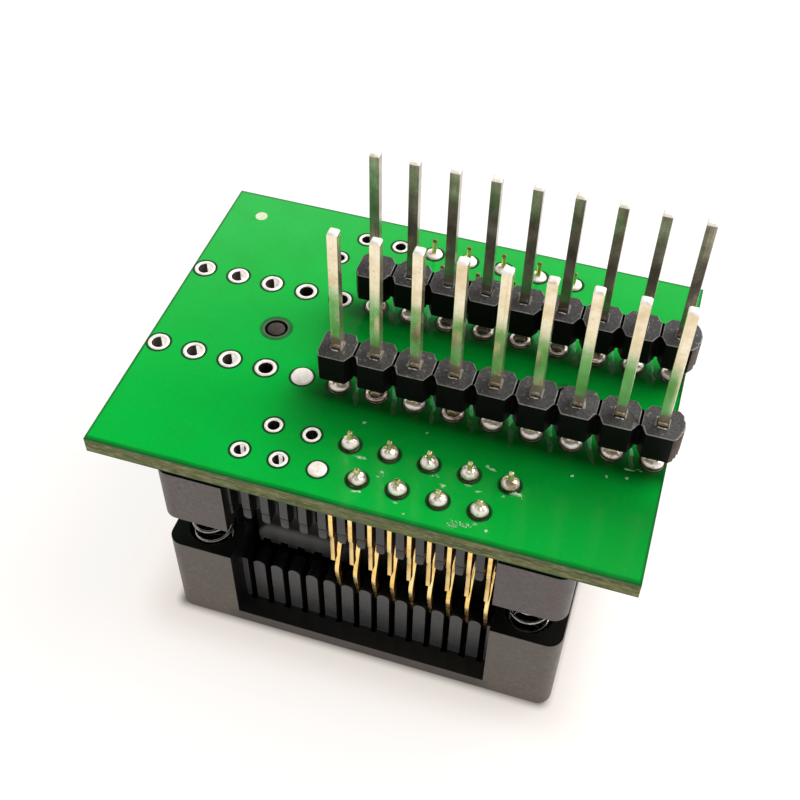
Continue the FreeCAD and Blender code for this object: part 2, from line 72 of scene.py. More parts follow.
# ---------------------------------------------------------------- materials
class Mat:
    def __init__(self, name, base=(0.5, 0.5, 0.5), rough=0.5, metal=0.0, spec=0.5):
        self.m = bpy.data.materials.new(name)
        self.m.use_nodes = True
        self.nt = self.m.node_tree
        self.b = self.nt.nodes["Principled BSDF"]
        self.set("Base Color", (*base, 1.0))
        self.set("Roughness", rough)
        self.set("Metallic", metal)
        self.set("Specular IOR Level", spec)
        self.co = None
        self.bump_out = None

    def set(self, k, v):
        self.b.inputs[k].default_value = v
        return self

    def node(self, kind, **kw):
        n = self.nt.nodes.new(kind)
        for k, v in kw.items():
            setattr(n, k, v)
        return n

    def link(self, a, b):
        self.nt.links.new(a, b)

    def coords(self):
        if self.co is None:
            self.co = self.node("ShaderNodeTexCoord").outputs["Object"]
        return self.co

    def noise(self, scale, detail=3.0, rough=0.55, stretch=None, offset=None):
        n = self.node("ShaderNodeTexNoise")
        n.inputs["Scale"].default_value = scale
        n.inputs["Detail"].default_value = detail
        n.inputs["Roughness"].default_value = rough
        src = self.coords()
        if stretch or offset:
            mp = self.node("ShaderNodeMapping")
            if stretch:
                mp.inputs["Scale"].default_value = stretch
            if offset:
                mp.inputs["Location"].default_value = offset
            self.link(src, mp.inputs["Vector"])
            src = mp.outputs["Vector"]
        self.link(src, n.inputs["Vector"])
        return n.outputs["Fac"]

    def ramp(self, fac, stops):
        r = self.node("ShaderNodeValToRGB")
        el = r.color_ramp.elements
        while len(el) < len(stops):
            el.new(0.5)
        for e, (p, c) in zip(el, stops):
            e.position = p
            e.color = (*c, 1.0) if len(c) == 3 else c
        self.link(fac, r.inputs["Fac"])
        return r.outputs["Color"]

    def rng(self, fac, lo, hi, a=0.0, b=1.0):
        r = self.node("ShaderNodeMapRange")
        r.inputs["From Min"].default_value = a
        r.inputs["From Max"].default_value = b
        r.inputs["To Min"].default_value = lo
        r.inputs["To Max"].default_value = hi
        self.link(fac, r.inputs["Value"])
        return r.outputs["Result"]

    def mix(self, fac, a, b, mode="MIX"):
        n = self.node("ShaderNodeMix", data_type="RGBA", blend_type=mode)
        for sock, v in ((n.inputs["Factor"], fac), (n.inputs[6], a), (n.inputs[7], b)):
            if hasattr(v, "links"):
                self.link(v, sock)
            elif isinstance(v, (int, float)):
                sock.default_value = v
            else:
                sock.default_value = (*v, 1.0)
        return n.outputs[2]

    def math(self, op, a, b=None):
        n = self.node("ShaderNodeMath", operation=op)
        for i, v in enumerate((a, b)):
            if v is None:
                continue
            if hasattr(v, "links"):
                self.link(v, n.inputs[i])
            else:
                n.inputs[i].default_value = v
        return n.outputs[0]

    def xyz(self):
        s = self.node("ShaderNodeSeparateXYZ")
        self.link(self.coords(), s.inputs[0])
        return s.outputs

    def color(self, out):
        self.link(out, self.b.inputs["Base Color"])
        return self

    def rough(self, out):
        self.link(out, self.b.inputs["Roughness"])
        return self

    def bump(self, height, dist, strength=1.0):
        n = self.node("ShaderNodeBump")
        n.inputs["Distance"].default_value = dist
        n.inputs["Strength"].default_value = strength
        self.link(height, n.inputs["Height"])
        if self.bump_out is not None:
            self.link(self.bump_out, n.inputs["Normal"])
        self.bump_out = n.outputs["Normal"]
        self.link(self.bump_out, self.b.inputs["Normal"])
        return self


def plastic(name, base, rough, grain, spec=0.5, speck=0.35, lip=None):
    m = Mat(name, base, rough, 0.0, spec)
    fine = m.noise(4200.0, 4.0, 0.6)
    mid = m.noise(900.0, 3.0, 0.55)
    big = m.noise(160.0, 2.0, 0.5)
    lo = tuple(c * (1.0 - speck) for c in base)
    hi = tuple(min(1.0, c * (1.0 + speck)) for c in base)
    c1 = m.ramp(fine, [(0.30, lo), (0.52, base), (0.74, hi)])
    c2 = m.mix(m.rng(mid, 0.0, 0.6, 0.35, 0.7), c1, (min(1.0, base[0] * 1.38), min(1.0, base[1] * 1.28), min(1.0, base[2] * 1.26)))
    c3 = m.mix(m.rng(big, 0.0, 0.5, 0.35, 0.7), c2, (base[0] * 0.72, base[1] * 0.75, base[2] * 0.74))
    # painted shade: where lip is given, faces inside |x| < lip[0] and low down near z = lip[1] turn darker
    if lip:
        x, y, z = m.xyz()[:]
        gx = m.rng(m.math("ABSOLUTE", x), 1.0, 0.0, (lip[0] - 0.5) * MM, (lip[0] + 0.7) * MM)
        gz = m.rng(z, 1.0, 0.0, (lip[1] - 0.2) * MM, (lip[1] + 0.5) * MM)
        c3 = m.mix(m.math("MULTIPLY", m.math("MULTIPLY", gx, gz), 0.6), c3, tuple(c * 0.15 for c in base))
    m.color(c3)
    m.rough(m.rng(mid, rough - 0.06, rough + 0.08, 0.3, 0.7))
    m.bump(mid, 0.00002, 0.5)
    m.bump(fine, grain, 0.7)
    return m.m


def solder_mask():
    m = Mat("solder_mask", (0.002, 0.38, 0.045), 0.13, 0.0, 0.36)
    big = m.noise(90.0, 2.0, 0.5)
    mid = m.noise(420.0, 3.0, 0.5)
    fine = m.noise(3600.0, 3.0, 0.6)
    c1 = m.mix(m.rng(big, 0.0, 1.0, 0.3, 0.7), (0.001, 0.395, 0.038), (0.002, 0.44, 0.050))
    c2 = m.mix(m.rng(mid, 0.0, 0.35, 0.4, 0.75), c1, (0.001, 0.325, 0.026))
    c3 = m.mix(m.rng(fine, 0.0, 0.2, 0.5, 0.8), c2, (0.010, 0.53, 0.085))
    x, y, z = m.xyz()[:]
    # painted shade and painted reflection of the strips: the mask is darker beside and between the strips, and towards
    # the front right
    yy = m.math("ADD", m.math("DIVIDE", y, 26.0 * MM), 0.5)
    stops = [(-12.7, 0.04), (-11.0, 0.08), (-9.3, 0.16), (-7.4, 0.34), (-6.0, 0.34), (-5.3, 0.50), (-4.7, 0.84), (-3.9, 0.80),
             (-1.5, 0.30), (0.6, 0.30), (2.2, 0.38), (2.9, 0.74), (3.6, 0.80), (4.6, 0.25), (5.4, 0.0)]
    strip_shade = m.ramp(yy, [((v + 13.0) / 26.0, (d, d, d)) for v, d in stops])
    gate = m.rng(x, 0.0, 1.0, -7.2 * MM, -4.6 * MM)
    right = m.math("MULTIPLY", m.rng(x, 0.0, 0.22, 6.0 * MM, 16.0 * MM), m.rng(y, 1.0, 0.0, -8.5 * MM, -5.5 * MM))
    strip_shade = m.math("MINIMUM", m.math("ADD", m.math("MULTIPLY", strip_shade, gate), right), 0.92)
    c3 = m.mix(strip_shade, c3, (0.0004, 0.030, 0.0015))
    # painted shade: a darker line along all the board's edges, and a wider one along its front edge
    dx = m.math("SUBTRACT", 17.40 * MM, m.math("ABSOLUTE", m.math("ADD", x, 0.215 * MM)))
    dy = m.math("SUBTRACT", 12.75 * MM, m.math("ABSOLUTE", m.math("SUBTRACT", y, 0.045 * MM)))
    rim = m.math("ADD", m.math("MINIMUM", dx, dy), m.math("MULTIPLY", m.math("SUBTRACT", mid, 0.5), 0.12 * MM))
    front = m.math("ADD", m.math("ADD", y, 12.705 * MM), m.math("MULTIPLY", m.math("SUBTRACT", mid, 0.5), 0.16 * MM))
    c3 = m.mix(m.rng(front, 0.62, 0.0, 0.26 * MM, 0.40 * MM), c3, (0.002, 0.10, 0.014))
    m.color(m.mix(m.rng(rim, 0.75, 0.0, 0.06 * MM, 0.20 * MM), c3, (0.003, 0.075, 0.012)))
    m.rough(m.rng(mid, 0.10, 0.17, 0.3, 0.7))
    m.bump(mid, 0.000012, 0.6)
    m.bump(fine, 0.0000015, 0.5)
    return m.m


def laminate():
    """Cut edge of the board: pressed glass cloth, with the thin mask at both rims."""
    m = Mat("board_edge_laminate", (0.19, 0.18, 0.09), 0.62, 0.0, 0.35)
    z = m.xyz()[2]
    layers = m.noise(1.0, 3.0, 0.6, stretch=(260.0, 260.0, 5200.0))
    fibre = m.noise(1.0, 3.0, 0.65, stretch=(1700.0, 1700.0, 6400.0))
    blot = m.noise(420.0, 3.0, 0.6)
    base = m.ramp(layers, [(0.30, (0.026, 0.034, 0.006)), (0.50, (0.078, 0.092, 0.015)), (0.70, (0.17, 0.16, 0.045))])
    base = m.mix(m.rng(fibre, 0.0, 0.7, 0.45, 0.75), base, (0.34, 0.33, 0.17))
    base = m.mix(m.rng(blot, 0.0, 0.75, 0.50, 0.70), base, (0.07, 0.10, 0.025))
    top = m.rng(z, 0.0, 1.0, (Z_BOARD - 0.15) * MM, (Z_BOARD - 0.04) * MM)
    low = m.rng(z, 1.0, 0.0, (Z_BOARD_LOW + 0.03) * MM, (Z_BOARD_LOW + 0.11) * MM)
    base = m.mix(top, base, (0.010, 0.085, 0.022))
    base = m.mix(low, base, (0.012, 0.09, 0.02))
    m.color(base)
    m.bump(fibre, 0.00004, 0.9)
    m.bump(blot, 0.00005, 0.6)
    return m.m


def pedestal_plastic():
    m = Mat("socket_pedestal_plastic", (0.1, 0.1, 0.098), 0.45, 0.0, 0.5)
    n = m.noise(900.0, 3.0, 0.55)
    x, y, z = m.xyz()[:]
    up = m.math("ADD", z, m.math("MULTIPLY", m.math("SUBTRACT", n, 0.5), 0.25 * MM))
    low = m.mix(m.rng(x, 0.0, 1.0, -8.0 * MM, -2.5 * MM), m.mix(n, (0.27, 0.265, 0.25), (0.33, 0.325, 0.31)), (0.17, 0.17, 0.165))
    # grey where light comes in from the open left end, black elsewhere
    slant = m.math("ADD", up, m.math("MULTIPLY", m.math("ADD", x, 8.06 * MM), -1.58))
    c = m.mix(m.rng(slant, 0.0, 1.0, 5.80 * MM, 6.3 * MM), low, (0.012, 0.012, 0.012))
    c = m.mix(m.rng(up, 0.0, 1.0, 5.70 * MM, 6.5 * MM), c, (0.012, 0.012, 0.012))
    c = m.mix(m.rng(x, 0.0, 1.0, -3.2 * MM, -1.6 * MM), c, (0.012, 0.012, 0.012))
    m.color(c)
    m.bump(n, 0.00001, 0.5)
    return m.m


def bare_laminate(name, a, b, spec=0.4, rough=0.45):
    m = Mat(name, a, rough, 0.0, spec)
    n = m.noise(1500.0, 3.0, 0.6)
    m.color(m.ramp(n, [(0.3, a), (0.7, b)]))
    m.bump(n, 0.000012, 0.6)
    return m.m


def metal(name, base, dark, rough, scale=900.0, bump=0.00002, bright=None, rvar=0.08, metallic=1.0):
    m = Mat(name, base, rough, metallic, 0.5)
    a = m.noise(scale, 3.0, 0.55)
    b = m.noise(scale * 4.5, 3.0, 0.6)
    c = m.ramp(a, [(0.28, dark), (0.52, base), (0.80, bright or base)])
    m.color(m.mix(m.rng(b, 0.0, 0.3, 0.5, 0.8), c, dark))
    m.rough(m.rng(a, max(0.03, rough - rvar), rough + rvar, 0.3, 0.7))
    m.bump(a, bump, 0.6)
    m.bump(b, bump * 0.25, 0.5)
    return m.m


def pin_metal(name, lo, mid, hi, metallic):
    """Tin plate on a drawn square pin: faint lines along its length."""
    m = Mat(name, mid, 0.16, metallic, 0.5)
    draw = m.noise(1.0, 3.0, 0.6, stretch=(5200.0, 5200.0, 140.0))
    cloud = m.noise(700.0, 3.0, 0.55)
    spots = m.noise(3000.0, 2.0, 0.5)
    c = m.ramp(cloud, [(0.30, lo), (0.52, mid), (0.75, hi)])
    c = m.mix(m.rng(draw, 0.0, 0.55, 0.5, 0.75), c, lo)
    c = m.mix(m.rng(spots, 0.0, 0.5, 0.62, 0.75), c, tuple(v * 0.8 for v in lo))
    m.color(c)
    m.rough(m.rng(cloud, 0.11, 0.19, 0.3, 0.7))
    m.bump(draw, 0.00001, 0.6)
    m.bump(cloud, 0.00001, 0.5)
    return m.m


def gold():
    m = Mat("gold_plate", (0.93, 0.64, 0.20), 0.26, 1.0, 0.5)
    a = m.noise(1100.0, 3.0, 0.55)
    b = m.noise(1.0, 2.0, 0.5, stretch=(2600.0, 2600.0, 400.0))
    c = m.ramp(a, [(0.28, (0.80, 0.48, 0.13)), (0.48, (1.0, 0.71, 0.25)), (0.72, (1.0, 0.84, 0.42))])
    c = m.mix(m.rng(b, 0.0, 0.35, 0.5, 0.75), c, (0.62, 0.36, 0.09))
    m.color(c)
    m.rough(m.rng(a, 0.2, 0.34, 0.3, 0.7))
    m.bump(a, 0.000015, 0.6)
    return m.m


def flux_mat():
    m = Mat("flux_residue", (0.85, 0.90, 0.80), 0.35, 0.0, 0.5)
    n = m.noise(2600.0, 3.0, 0.6)
    m.color(m.ramp(n, [(0.35, (0.06, 0.34, 0.10)), (0.52, (0.26, 0.52, 0.28)), (0.72, (0.78, 0.86, 0.74))]))
    m.bump(n, 0.00003, 0.8)
    return m.m


M_MASK = solder_mask()
M_EDGE = laminate()
M_RING = bare_laminate("mask_opening", (0.008, 0.014, 0.005), (0.022, 0.030, 0.012), 0.12)
M_RING_MID = bare_laminate("mask_opening_mid", (0.003, 0.030, 0.006), (0.006, 0.055, 0.010), 0.15, 0.3)
M_RING_OUT = bare_laminate("mask_opening_out", (0.002, 0.085, 0.012), (0.004, 0.12, 0.018), 0.2, 0.2)
M_HALO = bare_laminate("peg_hole_halo", (0.050, 0.115, 0.055), (0.085, 0.16, 0.085), 0.3, 0.4)
M_HALO_MID = bare_laminate("peg_hole_halo_mid", (0.015, 0.10, 0.028), (0.03, 0.15, 0.045), 0.4, 0.2)
M_HALO_OUT = bare_laminate("peg_hole_halo_out", (0.004, 0.17, 0.025), (0.008, 0.23, 0.036), 0.4, 0.15)
M_PEG = plastic("peg_top", (0.058, 0.043, 0.038), 0.60, 0.00003, 0.25, 0.6)
M_SPOT = bare_laminate("bare_spot", (0.55, 0.62, 0.42), (0.72, 0.74, 0.56))
# painted light: the lit band of tin inside some barrels, brightened by its own glow
def barrel_tin():
    m = Mat("tinned_barrel_lit_glow", (0.95, 0.90, 0.84), 0.35, 0.15, 0.5)
    n = m.noise(2200.0, 3.0, 0.6)
    c = m.ramp(n, [(0.30, (0.60, 0.52, 0.44)), (0.50, (0.92, 0.87, 0.81)), (0.72, (1.0, 0.98, 0.95))])
    m.color(c)
    m.link(c, m.b.inputs["Emission Color"])
    m.set("Emission Strength", 0.60)
    m.bump(n, 0.00001, 0.5)
    return m.m


M_BARREL_LIT = barrel_tin()
# painted shade: near-black walls inside the barrels and the peg holes
M_HOLE_SHADE = bare_laminate("hole_wall_shade", (0.010, 0.007, 0.006), (0.030, 0.018, 0.014))
# one black plastic in lit and shaded copies: the outer faces lighter, the ribs darker, shelves and inner faces near
# black as painted shade
M_BASE = plastic("socket_base_plastic", (0.078, 0.060, 0.056), 0.45, 0.00001, 0.5, 0.5)
M_BASE_EDGE = plastic("socket_base_edge", (0.050, 0.043, 0.040), 0.36, 0.00001, 0.8)
M_RIB = plastic("socket_rib_plastic_shaded", (0.023, 0.023, 0.0235), 0.42, 0.00001, 0.45, 0.45)
M_WALL = pedestal_plastic()
M_RIB_LOW = plastic("cover_rib_plastic_shaded", (0.040, 0.040, 0.0405), 0.42, 0.00001, 0.6, 0.5)
M_SHELF = plastic("socket_shelf_plastic_shaded", (0.013, 0.0125, 0.012), 0.35, 0.000006, 0.5, 0.4)
M_INNER = plastic("socket_inner_plastic_shaded", (0.0075, 0.0070, 0.0070), 0.33, 0.000006, 0.12, 0.25)
M_COVER = plastic("socket_cover_plastic", (0.078, 0.063, 0.048), 0.45, 0.00001, 0.5, 0.5, (8.9, 1.35))
M_COVER_EDGE = plastic("socket_cover_edge", (0.046, 0.039, 0.035), 0.34, 0.00001, 0.8)
# painted light and shade: one black plastic, near black on the sides and a lighter lit copy on the tops
M_HEADER = plastic("header_side_plastic_shaded", (0.0046, 0.0042, 0.0044), 0.38, 0.000006, 0.05, 0.25)
def header_top():
    m = Mat("header_top_plastic_lit", (0.04, 0.04, 0.038), 0.42, 0.0, 0.4)
    mid = m.noise(900.0, 3.0, 0.55)
    fine = m.noise(7000.0, 3.0, 0.6)
    dots = m.noise(4200.0, 1.0, 0.3)
    c = m.ramp(fine, [(0.32, (0.014, 0.014, 0.0135)), (0.50, (0.032, 0.031, 0.0305)), (0.70, (0.075, 0.073, 0.071))])
    c = m.mix(m.rng(mid, 0.0, 0.55, 0.40, 0.70), c, (0.022, 0.021, 0.020))
    c = m.mix(m.rng(dots, 0.0, 0.55, 0.64, 0.74), c, (0.20, 0.19, 0.18))
    m.color(c)
    m.bump(fine, 0.000008, 0.6)
    return m.m


M_HEADER_TOP = header_top()
M_HEADER_EDGE_SHEEN_AND_WEAR = plastic("header_edge_sheen_and_wear", (0.20, 0.195, 0.185), 0.35, 0.000006, 0.6, 0.7)
M_TORN = plastic("header_torn_end", (0.10, 0.075, 0.062), 0.75, 0.00005, 0.3, 0.6)
# painted glint: pale plastic flecks at the pins' feet
M_FOOT_GLINT = plastic("header_foot_glint", (0.55, 0.54, 0.52), 0.35, 0.00002, 0.6, 0.4)
M_PAD_STAIN = metal("stained_pad", (0.17, 0.125, 0.070), (0.035, 0.024, 0.012), 0.30, 1500.0, 0.00001, (0.50, 0.42, 0.30), metallic=0.4)
M_PAD = metal("tinned_pad", (0.96, 0.92, 0.87), (0.80, 0.74, 0.66), 0.36, 1500.0, 0.00001, (0.99, 0.97, 0.94), metallic=0.10)
M_PLUG = metal("solder_plug", (0.98, 0.93, 0.87), (0.80, 0.64, 0.52), 0.38, 900.0, 0.00001, (1.0, 0.98, 0.95), metallic=0.05)
# painted light and shade: the same tin as a paler lit copy on the front row and a darker shaded copy on the rear row
M_PIN = pin_metal("tinned_pin", (0.72, 0.58, 0.36), (0.86, 0.75, 0.54), (0.95, 0.88, 0.73), 0.88)
M_PIN_REAR_SHADED = pin_metal("tinned_pin_rear_shaded", (0.24, 0.20, 0.15), (0.36, 0.32, 0.26), (0.56, 0.51, 0.43), 0.78)
M_PIN_TIP_HIGHLIGHT = metal("pin_tip_highlight", (0.97, 0.93, 0.86), (0.72, 0.62, 0.48), 0.42, 2200.0, 0.00001, (1.0, 0.98, 0.95), metallic=0.1)
M_GOLD = gold()
def gold_side():
    """Sheared sides of the contacts: darker with painted shade, and tinned above the board."""
    m = Mat("gold_plate_side_shaded", (0.34, 0.13, 0.035), 0.34, 0.85, 0.5)
    n = m.noise(1500.0, 3.0, 0.55)
    x, y, z = m.xyz()[:]
    low = m.ramp(n, [(0.30, (0.12, 0.04, 0.012)), (0.52, (0.34, 0.14, 0.04)), (0.78, (0.58, 0.30, 0.09))])
    top = m.ramp(n, [(0.30, (0.26, 0.21, 0.09)), (0.52, (0.62, 0.52, 0.30)), (0.78, (0.88, 0.80, 0.60))])
    m.color(m.mix(m.rng(z, 0.0, 1.0, 16.9 * MM, 17.1 * MM), low, top))
    m.bump(n, 0.00001, 0.5)
    return m.m


M_GOLD_SIDE_SHADED = gold_side()
# painted shade: the rear row's tails take a darker copy of the tail tin
M_TAIL = metal("contact_tail", (0.80, 0.66, 0.40), (0.22, 0.17, 0.07), 0.30, 2400.0, 0.00003, (0.95, 0.88, 0.70))
M_TAIL_REAR_SHADED = metal("contact_tail_rear", (0.26, 0.22, 0.10), (0.10, 0.075, 0.03), 0.35, 2400.0, 0.00003, (0.40, 0.36, 0.20), metallic=0.6)
# painted shade: the steel is darkened for the coils in their dark pockets
M_WIRE = metal("spring_wire", (0.34, 0.325, 0.30), (0.20, 0.19, 0.17), 0.26, 1400.0, 0.00001, (0.62, 0.60, 0.56))
M_FLUX = flux_mat()


def solder_joint():
    m = Mat("solder_joint", (0.95, 0.88, 0.80), 0.20, 0.55, 0.6)
    n = m.noise(900.0, 3.0, 0.55)
    k = m.noise(2600.0, 3.0, 0.6)
    x, y, z = m.xyz()[:]
    c = m.ramp(n, [(0.32, (0.42, 0.29, 0.18)), (0.42, (0.90, 0.80, 0.69)), (0.58, (1.0, 0.93, 0.85)), (0.80, (1.0, 0.97, 0.93))])
    c = m.mix(m.rng(k, 0.0, 0.85, 0.60, 0.72), c, (0.16, 0.095, 0.045))
    foot = m.math("ADD", z, m.math("MULTIPLY", m.math("SUBTRACT", n, 0.5), 0.12 * MM))
    tc = m.node("ShaderNodeTexCoord")
    sep = m.node("ShaderNodeSeparateXYZ")
    m.link(tc.outputs["Normal"], sep.inputs[0])
    # painted shade: the side of each joint that faces +y is darker; each joint is also darker at its foot
    back_shade = m.math("ADD", sep.outputs[1], m.math("MULTIPLY", m.math("SUBTRACT", n, 0.5), 0.9))
    c = m.mix(m.rng(back_shade, 0.0, 0.80, 0.02, 0.30), c, (0.22, 0.17, 0.075))
    c = m.mix(m.rng(foot, 0.95, 0.0, 17.04 * MM, 17.17 * MM), c, (0.035, 0.026, 0.012))
    m.color(c)
    m.rough(m.rng(n, 0.14, 0.30, 0.3, 0.7))
    m.bump(n, 0.00005, 0.6)
    m.bump(k, 0.00001, 0.5)
    return m.m


M_SOLDER = solder_joint()
M_GAP_REFLECTION_TIP = bare_laminate("gap_reflection_tip", (0.020, 0.20, 0.055), (0.08, 0.36, 0.15), 0.2, 0.35)
M_GAP_REFLECTION = bare_laminate("gap_reflection", (0.014, 0.075, 0.014), (0.045, 0.15, 0.045), 0.15, 0.4)


# ---------------------------------------------------------------- mesh tools
def obj_from(name, me, mats, body, replaces=(), smooth_angle=None):
    o = bpy.data.objects.new(name, me)
    bpy.context.scene.collection.objects.link(o)
    for m in mats:
        me.materials.append(m)
    if smooth_angle is not None:
        me.polygons.foreach_set("use_smooth", [True] * len(me.polygons))
        me.set_sharp_from_angle(angle=math.radians(smooth_angle))
    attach(o, body)
    if replaces:
        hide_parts(*replaces)
    return o


def copy_node(node, body, mats, bevel=0.05, seg=2, name=None, sort=None, limit=30.0, edge=None, clamp=True):
    """The node's own shape with its edges broken, and the broken edges in the edge material."""
    src = NODES[node]
    me = src.data.copy()
    me.name = (name or node) + "_mesh"
    me.materials.clear()
    bm = bmesh.new()
    bm.from_mesh(me)
    bmesh.ops.remove_doubles(bm, verts=bm.verts, dist=2e-6)
    bmesh.ops.dissolve_limit(bm, angle_limit=math.radians(1.0), verts=bm.verts, edges=bm.edges, delimit=set())
    for f in bm.faces:
        f.smooth = True
        if sort:
            f.material_index = sort(f)
    bm.to_mesh(me)
    bm.free()
    o = obj_from(name or (node + "_shell"), me, mats, body)
    if bevel:
        b = o.modifiers.new("edge", "BEVEL")
        b.width = bevel * MM
        b.segments = seg
        b.limit_method = "ANGLE"
        b.angle_limit = math.radians(limit)
        b.harden_normals = False
        b.use_clamp_overlap = clamp
        b.miter_outer = "MITER_ARC"
        if edge is not None:
            b.material = edge
        w = o.modifiers.new("normals", "WEIGHTED_NORMAL")
        w.mode = "FACE_AREA"
        w.weight = 90
        w.keep_sharp = False
        dg = bpy.context.evaluated_depsgraph_get()
        new = bpy.data.meshes.new_from_object(o.evaluated_get(dg))
        o.modifiers.clear()
        old = o.data
        o.data = new
        bpy.data.meshes.remove(old)
    else:
        o.data.set_sharp_from_angle(angle=math.radians(32))
    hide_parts(node)
    return o


class Build:
    """Collects lathed and swept shapes in one mesh."""

    def __init__(self):
        self.v, self.f, self.mi = [], [], []

    def lathe(self, prof, x, y, seg=28, mat=0, wobble=None, close=True, sx=1.0, sy=1.0, phase=0.0):
        n0 = len(self.v)
        m = len(prof)
        for j in range(seg):
            a = 2 * math.pi * j / seg + phase
            for (r, z) in prof:
                rr, zz = (r, z) if wobble is None else wobble(r, z, a)
                self.v.append(((x + sx * rr * math.cos(a)) * MM, (y + sy * rr * math.sin(a)) * MM, zz * MM))
        pairs = m if close else m - 1
        for j in range(seg):
            k = (j + 1) % seg
            for i in range(pairs):
                i2 = (i + 1) % m
                self.f.append((n0 + j * m + i, n0 + k * m + i, n0 + k * m + i2, n0 + j * m + i2))
                self.mi.append(mat(prof[i], prof[i2], 2 * math.pi * (j + 0.5) / seg + phase) if callable(mat) else mat)

    def cap_lathe(self, prof, x, y, seg=28, mat=0, wobble=None, phase=0.0):
        """Open profile whose first and last points sit on the axis."""
        n0 = len(self.v)
        inner = prof[1:-1]
        m = len(inner)
        for j in range(seg):
            a = 2 * math.pi * j / seg + phase
            for (r, z) in inner:
                rr, zz = (r, z) if wobble is None else wobble(r, z, a)
                self.v.append(((x + rr * math.cos(a)) * MM, (y + rr * math.sin(a)) * MM, zz * MM))
        lo = len(self.v)
        self.v.append((x * MM, y * MM, prof[0][1] * MM))
        hi = len(self.v)
        self.v.append((x * MM, y * MM, prof[-1][1] * MM))
        for j in range(seg):
            k = (j + 1) % seg
            for i in range(m - 1):
                self.f.append((n0 + j * m + i, n0 + k * m + i, n0 + k * m + i + 1, n0 + j * m + i + 1))
                self.mi.append(mat)
            self.f.append((lo, n0 + k * m, n0 + j * m))
            self.mi.append(mat)
            self.f.append((hi, n0 + j * m + m - 1, n0 + k * m + m - 1))
            self.mi.append(mat)

    def mesh(self, name):
        me = bpy.data.meshes.new(name)
        me.from_pydata(self.v, [], self.f)
        me.polygons.foreach_set("material_index", self.mi)
        bm = bmesh.new()
        bm.from_mesh(me)
        bmesh.ops.recalc_face_normals(bm, faces=bm.faces)
        bm.to_mesh(me)
        bm.free()
        me.update()
        return me


def rng_for(*key):
    return random.Random("-".join(str(k) for k in key))


# ---------------------------------------------------------------- board
def board_sort(f):
    if abs(f.normal.z) > 0.9:
        return 0
    c = f.calc_center_median()
    for sg in (-1, 1):
        if math.hypot(c.x / MM - SX - sg * PEG_DX, c.y / MM - SY) < 1.3:
            return 2
    return 1


board = copy_node("circuit_board", ROOT, [M_MASK, M_EDGE, M_HOLE_SHADE], bevel=0.0, sort=board_sort, name="circuit_board_shell")


def ring_profile(r0, r1, z0, z1):
    return [(r0, z0), (r1, z0), (r1, z1), (r0, z1)]


rings = Build()


def opening(x, y, r, steps, seg=40):
    for (ra, rb, mat) in steps:
        rings.lathe(ring_profile(r + ra, r + rb, Z_BOARD - 0.05, Z_BOARD + 0.006 - 0.0015 * mat), x, y, seg, mat=mat)
        rings.lathe(ring_profile(r + ra, r + rb, Z_BOARD_LOW - 0.006 + 0.0015 * mat, Z_BOARD_LOW + 0.05), x, y, seg, mat=mat)


PLAIN = ((-0.04, 0.035, 0), (0.035, 0.09, 1), (0.09, 0.15, 2))
SOLDERED = ((-0.04, 0.045, 0), (0.045, 0.115, 1), (0.115, 0.19, 2))
for col in range(14):
    for row in (-1, 1):
        x, y = dip_xy(col, row)
        opening(x, y, 0.74, SOLDERED if col > 4 else PLAIN)
for k in range(NPOS):
    for side in (-1, 1):
        x, y = soc_xy(k, side)
        opening(x, y, 0.60, SOLDERED if k > 4 else PLAIN, 36)
rings.v = [(max(-17.61 * MM, min(17.18 * MM, v[0])), v[1], v[2]) for v in rings.v]
obj_from("mask_openings", rings.mesh("mask_openings"), [M_RING, M_RING_MID, M_RING_OUT], ROOT, smooth_angle=30)

halo = Build()
for s in (-1, 1):
    for (ra, rb, mat) in ((0.78, 0.92, 0), (0.92, 1.02, 1), (1.02, 1.14, 2)):
        halo.lathe(ring_profile(ra, rb, Z_BOARD - 0.05, Z_BOARD + 0.005 - 0.0012 * mat), SX + s * PEG_DX, SY, 48, mat=mat)
        halo.lathe(ring_profile(ra, rb, Z_BOARD_LOW - 0.005 + 0.0012 * mat, Z_BOARD_LOW + 0.05), SX + s * PEG_DX, SY, 48, mat=mat)
obj_from("peg_hole_halos", halo.mesh("peg_hole_halos"), [M_HALO, M_HALO_MID, M_HALO_OUT], ROOT, smooth_angle=30)

spot = Build()
spot.cap_lathe([(0, Z_BOARD - 0.05), (0.44, Z_BOARD - 0.05), (0.44, Z_BOARD + 0.004), (0.38, Z_BOARD + 0.010), (0, Z_BOARD + 0.012)], -15.075, 10.48, 32)
obj_from("bare_spot_mark", spot.mesh("bare_spot_mark"), [M_SPOT], ROOT, smooth_angle=30)


# ---------------------------------------------------------------- plated holes
def pad_profile(r, pad_r, top, low):
    """Rounded tinned ring, barrel and lower ring."""
    pts = []
    up, dn = top + 0.052, low - 0.052
    c = 0.10
    # inner lip, top ring, outer rim, down inside the board, lower ring and back up the barrel
    for i in range(6):
        a = math.pi / 2 * i / 5
        pts.append((r + c - c * math.cos(a), up - c + c * math.sin(a)))
    pts += [(r + c + (pad_r - r - c) * 0.45, up + 0.006), (pad_r - 0.08, up - 0.004), (pad_r - 0.02, up - 0.022), (pad_r, top - 0.01)]
    pts += [(pad_r - 0.02, top - 0.03), (r + 0.03, top - 0.05), (r + 0.03, low + 0.05), (pad_r - 0.02, low + 0.03), (pad_r, low + 0.01)]
    pts += [(pad_r - 0.02, dn + 0.022), (pad_r - 0.08, dn + 0.004), (r + c, dn)]
    for i in range(1, 6):
        a = math.pi / 2 * i / 5
        pts.append((r + c - c * math.sin(a), dn + c - c * math.cos(a)))
    for i in range(1, 8):
        pts.append((r, dn + c + (up - dn - 2 * c) * i / 8.0))
    return pts


